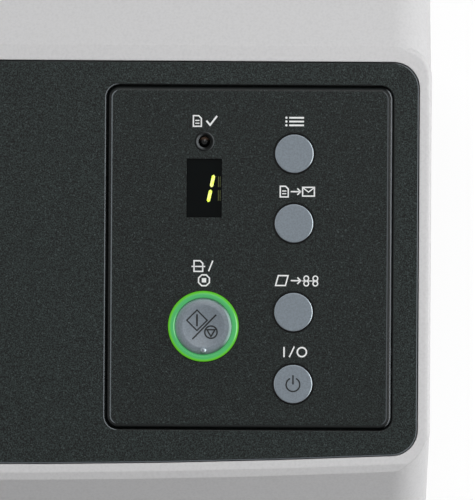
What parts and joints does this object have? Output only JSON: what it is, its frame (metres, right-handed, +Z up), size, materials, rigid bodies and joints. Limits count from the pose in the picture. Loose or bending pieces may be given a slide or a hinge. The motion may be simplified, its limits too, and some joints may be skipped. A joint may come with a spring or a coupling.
{
  "type": "document scanner",
  "caption": "Desktop sheet-fed document scanner with a hinged front cover, lit start key, digit display, folding paper chute and sliding stacker tray.",
  "frame": {"origin": "on the desk, below the middle of the machine", "axes": "+X across the machine to the right seen from the front, +Y to the back, +Z up"},
  "size_m": [0.46, 0.43, 0.3768],
  "materials": {
    "casing": "fine-textured moulded casing",
    "face_dark": "fine metallic fleck under satin lacquer",
    "panel_dark": "fine metallic fleck under satin lacquer",
    "key_grey": "satin painted key",
    "light_ring": "translucent light guide, lit",
    "lamp": "unlit lens",
    "display": "display module",
    "smoked_pane": "smoked pane",
    "circuit_board": "solder-masked board",
    "black_plastic": "moulded black plastic",
    "guide_grey": "smooth moulded guide",
    "roller_rubber": "fine-ribbed rubber",
    "foot_rubber": "soft rubber",
    "zinc_steel": "zinc-plated sheet",
    "bright_steel": "ground steel",
    "white_plastic": "acetal",
    "scan_glass": "clear glass",
    "motor_metal": "black motor body",
    "belt_rubber": "toothed belt"
  },
  "bodies": {
    "base": {"base_pan": "zinc_steel", "rubber_feet": "foot_rubber", "left_side_cover": "casing", "right_side_cover": "casing", "rear_cover": "casing", "top_deck": "casing", "stacker_floor": "casing", "lower_paper_guide": "guide_grey", "left_frame_plate": "zinc_steel", "right_frame_plate": "zinc_steel", "rear_scan_housing": "black_plastic", "rear_scan_glass": "scan_glass", "rear_scan_sensor": "circuit_board", "shaft_bushes": "white_plastic", "drive_motor": "motor_metal", "drive_belt": "belt_rubber", "control_board": "circuit_board", "power_supply": "zinc_steel", "power_inlet": "black_plastic", "data_socket": "bright_steel", "hinge_and_latch_pins": "bright_steel", "rear_screws": "bright_steel"},
    "cover": {"front_cover": "casing", "face_panel": "face_dark", "control_panel": "panel_dark", "upper_paper_guide": "guide_grey", "scan_light_ring": "light_ring", "check_lamp": "lamp", "digit_display": "display", "display_window": "smoked_pane", "panel_board": "circuit_board", "key_switches": "black_plastic", "front_scan_housing": "black_plastic", "front_scan_glass": "scan_glass", "front_scan_sensor": "circuit_board"},
    "latch": {"latch_bar": "casing"},
    "function_key": {"function_button": "key_grey"},
    "send_key": {"send_button": "key_grey"},
    "manual_key": {"manual_button": "key_grey"},
    "power_key": {"power_button": "key_grey"},
    "scan_key": {"scan_stop_button": "key_grey"},
    "feed_drive": {"feed_shaft": "bright_steel", "feed_tyres": "roller_rubber", "feed_pulley": "white_plastic"},
    "pick_drive": {"pick_shaft": "bright_steel", "pick_tyres": "roller_rubber", "pick_pulley": "white_plastic"},
    "eject_drive": {"eject_roller": "guide_grey"},
    "motor_rotor": {"motor_pulley": "bright_steel"},
    "feed_idler_row": {"feed_idlers": "white_plastic"},
    "eject_idler_row": {"eject_idlers": "white_plastic"},
    "brake_row": {"brake_roller": "roller_rubber"},
    "chute": {"paper_chute": "casing"},
    "chute_leaf": {"chute_extension": "guide_grey"},
    "left_guide": {"left_page_guide": "guide_grey"},
    "right_guide": {"right_page_guide": "guide_grey"},
    "pinion": {"guide_pinion": "white_plastic"},
    "tray": {"stacker_tray": "guide_grey"},
    "tray_leaf": {"stacker_extension": "guide_grey"},
    "stop_flap": {"page_stop": "guide_grey"}
  },
  "joints": [
    {"name": "cover_hinge", "type": "hinge", "parent": "base", "child": "cover", "pos_m": [0, -0.16, 0.084], "axis": [1, 0, 0], "range_deg": [0, 70]},
    {"name": "latch_hinge", "type": "hinge", "parent": "cover", "child": "latch", "pos_m": [0, -0.00919, 0.24724], "axis": [1, 0, 0], "range_deg": [0, 10]},
    {"name": "chute_hinge", "type": "hinge", "parent": "base", "child": "chute", "pos_m": [0, 0.05, 0.258], "axis": [1, 0, 0], "range_deg": [-42, 0]},
    {"name": "chute_extension_slide", "type": "slide", "parent": "chute", "child": "chute_leaf", "axis": [0, 0.7431, 0.6691], "range_m": [0, 0.08]},
    {"name": "right_guide_slide", "type": "slide", "parent": "chute", "child": "right_guide", "axis": [1, 0, 0], "range_m": [-0.065, 0.0435]},
    {"name": "left_guide_slide", "type": "slide", "parent": "chute", "child": "left_guide", "axis": [1, 0, 0], "range_m": [-0.0435, 0.065]},
    {"name": "pinion_spin", "type": "hinge", "parent": "chute", "child": "pinion", "pos_m": [0, 0.08344, 0.28811], "axis": [0, -0.6691, 0.7431], "range_deg": [-277, 414]},
    {"name": "stacker_slide", "type": "slide", "parent": "base", "child": "tray", "axis": [0, -1, 0], "range_m": [0, 0.11]},
    {"name": "stacker_extension_slide", "type": "slide", "parent": "tray", "child": "tray_leaf", "axis": [0, -1, 0], "range_m": [0, 0.1]},
    {"name": "page_stop_hinge", "type": "hinge", "parent": "tray_leaf", "child": "stop_flap", "pos_m": [0, -0.206, 0.01755], "axis": [1, 0, 0], "range_deg": [0, 85]},
    {"name": "function_key_travel", "type": "slide", "parent": "cover", "child": "function_key", "axis": [0, 0.8192, -0.5736], "range_m": [0, 0.0008], "stiffness_N_per_m": 400},
    {"name": "send_key_travel", "type": "slide", "parent": "cover", "child": "send_key", "axis": [0, 0.8192, -0.5736], "range_m": [0, 0.0008], "stiffness_N_per_m": 400},
    {"name": "manual_key_travel", "type": "slide", "parent": "cover", "child": "manual_key", "axis": [0, 0.8192, -0.5736], "range_m": [0, 0.0008], "stiffness_N_per_m": 400},
    {"name": "power_key_travel", "type": "slide", "parent": "cover", "child": "power_key", "axis": [0, 0.8192, -0.5736], "range_m": [0, 0.0008], "stiffness_N_per_m": 400},
    {"name": "scan_key_travel", "type": "slide", "parent": "cover", "child": "scan_key", "axis": [0, 0.8192, -0.5736], "range_m": [0, 0.0008], "stiffness_N_per_m": 400},
    {"name": "feed_spin", "type": "hinge", "parent": "base", "child": "feed_drive", "pos_m": [0, -0.01965, 0.1771], "axis": [1, 0, 0], "continuous": true},
    {"name": "pick_spin", "type": "hinge", "parent": "base", "child": "pick_drive", "pos_m": [0, 0.0051, 0.1976], "axis": [1, 0, 0], "continuous": true},
    {"name": "eject_spin", "type": "hinge", "parent": "base", "child": "eject_drive", "pos_m": [0, -0.11299, 0.08376], "axis": [1, 0, 0], "continuous": true},
    {"name": "motor_spin", "type": "hinge", "parent": "base", "child": "motor_rotor", "pos_m": [0, -0.005, 0.1], "axis": [1, 0, 0], "continuous": true},
    {"name": "feed_idler_spin", "type": "hinge", "parent": "cover", "child": "feed_idler_row", "pos_m": [0, -0.03337, 0.19081], "axis": [1, 0, 0], "continuous": true},
    {"name": "eject_idler_spin", "type": "hinge", "parent": "cover", "child": "eject_idler_row", "pos_m": [0, -0.12671, 0.09748], "axis": [1, 0, 0], "continuous": true},
    {"name": "brake_spin", "type": "hinge", "parent": "cover", "child": "brake_row", "pos_m": [0, -0.01357, 0.21627], "axis": [1, 0, 0], "continuous": true}
  ],
  "couplings": [
    {"joint": "left_guide_slide", "follows": "right_guide_slide", "ratio": -1},
    {"joint": "pinion_spin", "follows": "right_guide_slide", "rad_per_m": -111.11},
    {"joint": "motor_spin", "follows": "feed_spin", "ratio": 1.25},
    {"joint": "pick_spin", "follows": "feed_spin", "ratio": 0.71429},
    {"joint": "eject_spin", "follows": "feed_spin", "ratio": 1},
    {"joint": "feed_idler_spin", "follows": "feed_spin", "ratio": -1.7143},
    {"joint": "eject_idler_spin", "follows": "feed_spin", "ratio": -1.7143}
  ]
}
